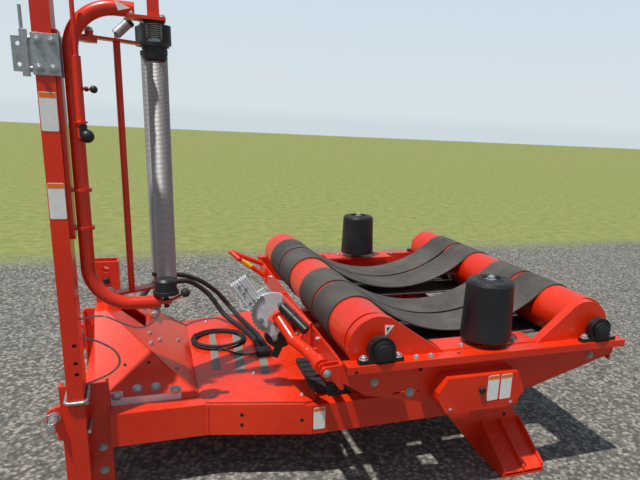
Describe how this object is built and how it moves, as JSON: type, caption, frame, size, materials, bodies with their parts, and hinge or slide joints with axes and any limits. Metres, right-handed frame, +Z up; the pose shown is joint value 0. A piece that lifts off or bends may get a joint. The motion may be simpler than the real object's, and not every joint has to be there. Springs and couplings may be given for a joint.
{
  "type": "round bale wrapper",
  "caption": "Linkage-mounted turntable round bale wrapper with an upright film reel mast, prestretch unit, belted rollers, bale cones and a tipping table.",
  "frame": {"origin": "middle of the outline, on the floor", "axes": "+X to the machine's rear, away from the tractor; +Y to its right-hand side; +Z up"},
  "size_m": [2.096, 1.73, 1.95],
  "materials": {
    "paint": "painted gloss",
    "galvanised": "zinc plated",
    "black_steel": "painted black",
    "black_plastic": "satin",
    "rubber": "matte",
    "aluminium": "ribbed, satin"
  },
  "bodies": {
    "frame": {"rail_left": "paint", "rail_right": "paint", "cross_members": "paint", "deck_plate": "paint", "deck_buffer": "rubber", "hitch_post_left": "paint", "hitch_post_right": "paint", "link_pins": "galvanised", "tower_sides": "paint", "tower_panels": "paint", "top_link_box": "paint", "tower_strap": "galvanised", "leg_left": "paint", "leg_right": "paint", "mast": "paint", "mast_clamp": "galvanised", "mast_carriage": "paint", "reel_hoop": "paint", "reel_lock": "paint", "hose_gland": "black_plastic", "hose_couplings": "galvanised", "hose_a": "rubber", "hose_b": "rubber", "coil_line": "rubber", "hose_coil": "rubber", "lanyard": "galvanised", "loop_cable": "galvanised"},
    "tip_body": {"tip_frame": "paint", "slew_base": "galvanised", "slew_motor": "black_steel"},
    "ram_barrels": {"tip_barrel": "black_steel"},
    "ram_rods": {"tip_rod": "galvanised"},
    "turntable": {"table_hub": "paint", "table_beams": "paint", "table_end_plates": "paint", "side_beam_left": "paint", "side_beam_right": "paint", "roller_guards": "paint", "chain_case": "paint", "roller_bearings": "black_steel", "belt_tops": "rubber", "belt_returns": "rubber", "cone_pedestals": "paint", "guide_bars": "paint", "cutter_bracket": "paint"},
    "roller_front": {"front_roller": "paint"},
    "roller_rear": {"rear_roller": "paint"},
    "bale_cone_left": {"cone_left": "black_plastic"},
    "bale_cone_right": {"cone_right": "black_plastic"},
    "cutter": {"cutter_arm": "paint", "cutter_head": "galvanised", "cutter_strut": "black_steel"},
    "stretcher": {"stretch_frame": "paint", "stretch_gearcase": "black_plastic", "stretch_spring": "galvanised"},
    "stretch_roll_a": {"stretch_roller_a": "aluminium"},
    "stretch_roll_b": {"stretch_roller_b": "aluminium"},
    "spindle": {"reel_spindle": "galvanised"},
    "core_cone_top": {"reel_cone_top": "black_plastic"},
    "core_cone_bottom": {"reel_cone_bottom": "black_plastic"}
  },
  "joints": [
    {"name": "table_tip", "type": "hinge", "parent": "frame", "child": "tip_body", "pos_m": [0.663, 0.003, 0.262], "axis": [0, 1, 0], "range_deg": [0, 40]},
    {"name": "ram_swing", "type": "hinge", "parent": "frame", "child": "ram_barrels", "pos_m": [0.173, 0.003, 0.13], "axis": [0, 1, 0], "range_deg": [-4.22, 0]},
    {"name": "ram_stroke", "type": "slide", "parent": "ram_barrels", "child": "ram_rods", "axis": [0.9128, 0, 0.4084], "range_m": [0, 0.07236]},
    {"name": "table_turn", "type": "hinge", "parent": "tip_body", "child": "turntable", "pos_m": [0.473, 0.003, 0.367], "axis": [0, 0, 1], "continuous": true},
    {"name": "front_roller_turn", "type": "hinge", "parent": "turntable", "child": "roller_front", "pos_m": [0.02, 0.003, 0.62], "axis": [0, 1, 0], "continuous": true},
    {"name": "rear_roller_turn", "type": "hinge", "parent": "turntable", "child": "roller_rear", "pos_m": [0.926, 0.003, 0.62], "axis": [0, 1, 0], "continuous": true},
    {"name": "cone_left_turn", "type": "hinge", "parent": "turntable", "child": "bale_cone_left", "pos_m": [0.473, -0.744, 0.6], "axis": [0, 0, 1], "continuous": true},
    {"name": "cone_right_turn", "type": "hinge", "parent": "turntable", "child": "bale_cone_right", "pos_m": [0.473, 0.75, 0.6], "axis": [0, 0, 1], "continuous": true},
    {"name": "cutter_swing", "type": "hinge", "parent": "turntable", "child": "cutter", "pos_m": [-0.155, -0.723, 0.536], "axis": [0, 1, 0], "range_deg": [-35, 0]},
    {"name": "stretcher_swing", "type": "hinge", "parent": "frame", "child": "stretcher", "pos_m": [-0.827, -0.433, 0.742], "axis": [0, 0, 1], "range_deg": [0, 25], "stiffness_Nm_per_rad": 8},
    {"name": "stretch_roller_a_turn", "type": "hinge", "parent": "stretcher", "child": "stretch_roll_a", "pos_m": [-0.635, -0.325, 0.742], "axis": [0, 0, 1], "continuous": true},
    {"name": "stretch_roller_b_turn", "type": "hinge", "parent": "stretcher", "child": "stretch_roll_b", "pos_m": [-0.651, -0.239, 0.742], "axis": [0, 0, 1], "continuous": true},
    {"name": "spindle_lift", "type": "slide", "parent": "frame", "child": "spindle", "axis": [0, 0, 1], "range_m": [0, 0.045], "stiffness_N_per_m": 200},
    {"name": "top_core_cone_turn", "type": "hinge", "parent": "spindle", "child": "core_cone_top", "pos_m": [-0.643, -0.497, 1.5505], "axis": [0, 0, 1], "continuous": true},
    {"name": "bottom_core_cone_turn", "type": "hinge", "parent": "frame", "child": "core_cone_bottom", "pos_m": [-0.643, -0.497, 0.7565], "axis": [0, 0, 1], "continuous": true}
  ],
  "couplings": [
    {"joint": "ram_swing", "follows": "table_tip", "ratio": -0.10546},
    {"joint": "ram_stroke", "follows": "table_tip", "m_per_rad": 0.10364},
    {"joint": "rear_roller_turn", "follows": "front_roller_turn", "ratio": 1},
    {"joint": "stretch_roller_b_turn", "follows": "stretch_roller_a_turn", "ratio": -1}
  ]
}
